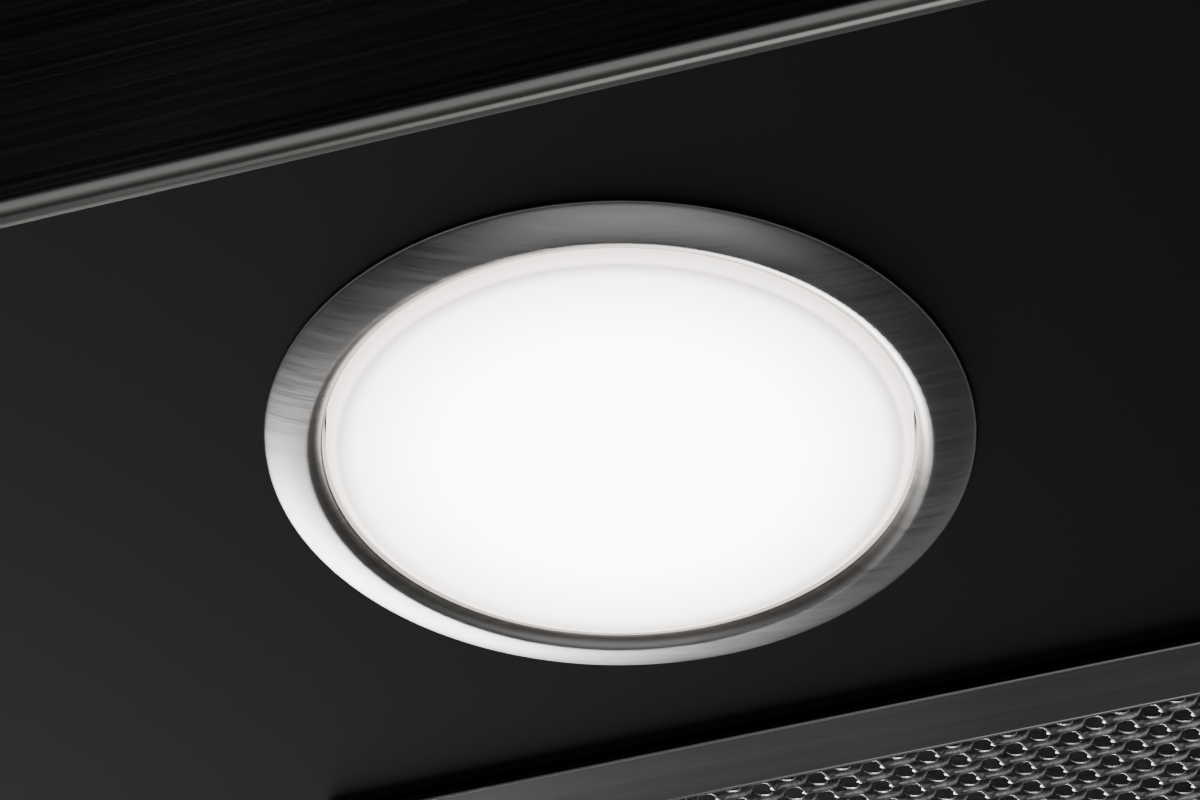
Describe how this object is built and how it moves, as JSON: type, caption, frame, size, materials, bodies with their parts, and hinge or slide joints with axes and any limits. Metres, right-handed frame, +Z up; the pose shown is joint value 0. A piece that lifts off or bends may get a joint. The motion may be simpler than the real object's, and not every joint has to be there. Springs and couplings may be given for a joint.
{
  "type": "island range hood",
  "caption": "Ceiling-hung island range hood: flat brushed steel canopy with dark underside, mesh filters on hinges, round lamps, telescopic chimney and a blower inside.",
  "frame": {"origin": "centre of the ceiling bolt pattern, on the top face of the ceiling plate", "axes": "+X along the long side, +Y from the control side to the rear, +Z up to the ceiling"},
  "size_m": [0.9, 0.6025, 0.8017],
  "materials": {
    "brushed_steel": "brushed",
    "charcoal_panel": "matt",
    "zinc_sheet": "galvanised",
    "bright_screws": "zinc plated",
    "spring_steel": "satin",
    "grey_housing": "moulded",
    "black_plastic": "moulded",
    "motor_metal": "cast",
    "bearing_steel": "ground",
    "rubber": "matt",
    "board": "laminate",
    "led_board": "laminate",
    "capacitor": "gloss",
    "fascia": "gloss",
    "button": "satin",
    "lamp_ring": "brushed",
    "lamp_lens": "frosted",
    "filter_frame": "brushed",
    "filter_mesh": "satin",
    "latch_housing": "moulded",
    "latch_slider": "moulded"
  },
  "bodies": {
    "mount": {"ceiling_plate": "zinc_sheet", "upper_frame": "zinc_sheet", "upper_chimney": "brushed_steel", "chimney_screws": "bright_screws"},
    "hood": {"lower_frame": "zinc_sheet", "frame_bolts": "bright_screws", "lower_chimney": "brushed_steel", "canopy_shell": "brushed_steel", "underside_panel": "charcoal_panel", "catch_springs": "spring_steel", "motor_box": "zinc_sheet", "blower_screws": "bright_screws", "scroll_front": "grey_housing", "scroll_rear": "grey_housing", "inlet_guard_front": "black_plastic", "inlet_guard_rear": "black_plastic", "motor_can": "motor_metal", "motor_bearings": "bearing_steel", "motor_bracket": "motor_metal", "motor_grommets": "rubber", "outlet_collar": "black_plastic", "flap_pin": "bearing_steel", "electronics_box": "zinc_sheet", "electronics_lid": "zinc_sheet", "circuit_board": "board", "motor_capacitor": "capacitor", "cable_gland": "black_plastic", "control_fascia": "fascia", "switch_board": "board", "lamp_bezel_front_left": "lamp_ring", "lamp_bezel_front_right": "lamp_ring", "lamp_bezel_rear_left": "lamp_ring", "lamp_bezel_rear_right": "lamp_ring", "lamp_lens_front_left": "lamp_lens", "lamp_lens_front_right": "lamp_lens", "lamp_lens_rear_left": "lamp_lens", "lamp_lens_rear_right": "lamp_lens", "lamp_cans": "black_plastic", "led_boards": "led_board", "lamp_clips": "spring_steel"},
    "rotor": {"impeller": "grey_housing", "motor_shaft": "bearing_steel"},
    "flap_front": {"flap_front": "black_plastic"},
    "flap_rear": {"flap_rear": "black_plastic"},
    "button_1": {"button_1": "button"},
    "button_2": {"button_2": "button"},
    "button_3": {"button_3": "button"},
    "button_4": {"button_4": "button"},
    "button_5": {"button_5": "button"},
    "filter_left": {"filter_frame_left": "filter_frame", "filter_mesh_left": "filter_mesh", "latch_housing_left": "latch_housing", "latch_spring_left": "spring_steel"},
    "latch_left": {"latch_slider_left": "latch_slider"},
    "filter_right": {"filter_frame_right": "filter_frame", "filter_mesh_right": "filter_mesh", "latch_housing_right": "latch_housing", "latch_spring_right": "spring_steel"},
    "latch_right": {"latch_slider_right": "latch_slider"}
  },
  "joints": [
    {"name": "height_adjust", "type": "slide", "parent": "mount", "child": "hood", "axis": [0, 0, 1], "range_m": [-0.07, 0.2]},
    {"name": "rotor_spin", "type": "hinge", "parent": "hood", "child": "rotor", "pos_m": [-0.047, 0, -0.63915], "axis": [0, 1, 0], "continuous": true},
    {"name": "flap_front_swing", "type": "hinge", "parent": "hood", "child": "flap_front", "pos_m": [0, 0, -0.493], "axis": [-1, 0, 0], "range_deg": [0, 75]},
    {"name": "flap_rear_swing", "type": "hinge", "parent": "hood", "child": "flap_rear", "pos_m": [0, 0, -0.493], "axis": [1, 0, 0], "range_deg": [0, 75]},
    {"name": "button_1_press", "type": "slide", "parent": "hood", "child": "button_1", "axis": [0, 1, 0], "range_m": [0, 0.0015], "stiffness_N_per_m": 500, "springref_m": -0.002},
    {"name": "button_2_press", "type": "slide", "parent": "hood", "child": "button_2", "axis": [0, 1, 0], "range_m": [0, 0.0015], "stiffness_N_per_m": 500, "springref_m": -0.002},
    {"name": "button_3_press", "type": "slide", "parent": "hood", "child": "button_3", "axis": [0, 1, 0], "range_m": [0, 0.0015], "stiffness_N_per_m": 500, "springref_m": -0.002},
    {"name": "button_4_press", "type": "slide", "parent": "hood", "child": "button_4", "axis": [0, 1, 0], "range_m": [0, 0.0015], "stiffness_N_per_m": 500, "springref_m": -0.002},
    {"name": "button_5_press", "type": "slide", "parent": "hood", "child": "button_5", "axis": [0, 1, 0], "range_m": [0, 0.0015], "stiffness_N_per_m": 500, "springref_m": -0.002},
    {"name": "filter_left_tilt", "type": "hinge", "parent": "hood", "child": "filter_left", "pos_m": [-0.1805, 0.1496, -0.7977], "axis": [1, 0, 0], "range_deg": [0, 60], "deforming": ["catch_springs"]},
    {"name": "latch_left_slide", "type": "slide", "parent": "filter_left", "child": "latch_left", "axis": [0, 1, 0], "range_m": [0, 0.005], "stiffness_N_per_m": 300, "springref_m": -0.004, "deforming": ["latch_spring_left"]},
    {"name": "filter_right_tilt", "type": "hinge", "parent": "hood", "child": "filter_right", "pos_m": [0.1805, 0.1496, -0.7977], "axis": [1, 0, 0], "range_deg": [0, 60], "deforming": ["catch_springs"]},
    {"name": "latch_right_slide", "type": "slide", "parent": "filter_right", "child": "latch_right", "axis": [0, 1, 0], "range_m": [0, 0.005], "stiffness_N_per_m": 300, "springref_m": -0.004, "deforming": ["latch_spring_right"]}
  ]
}
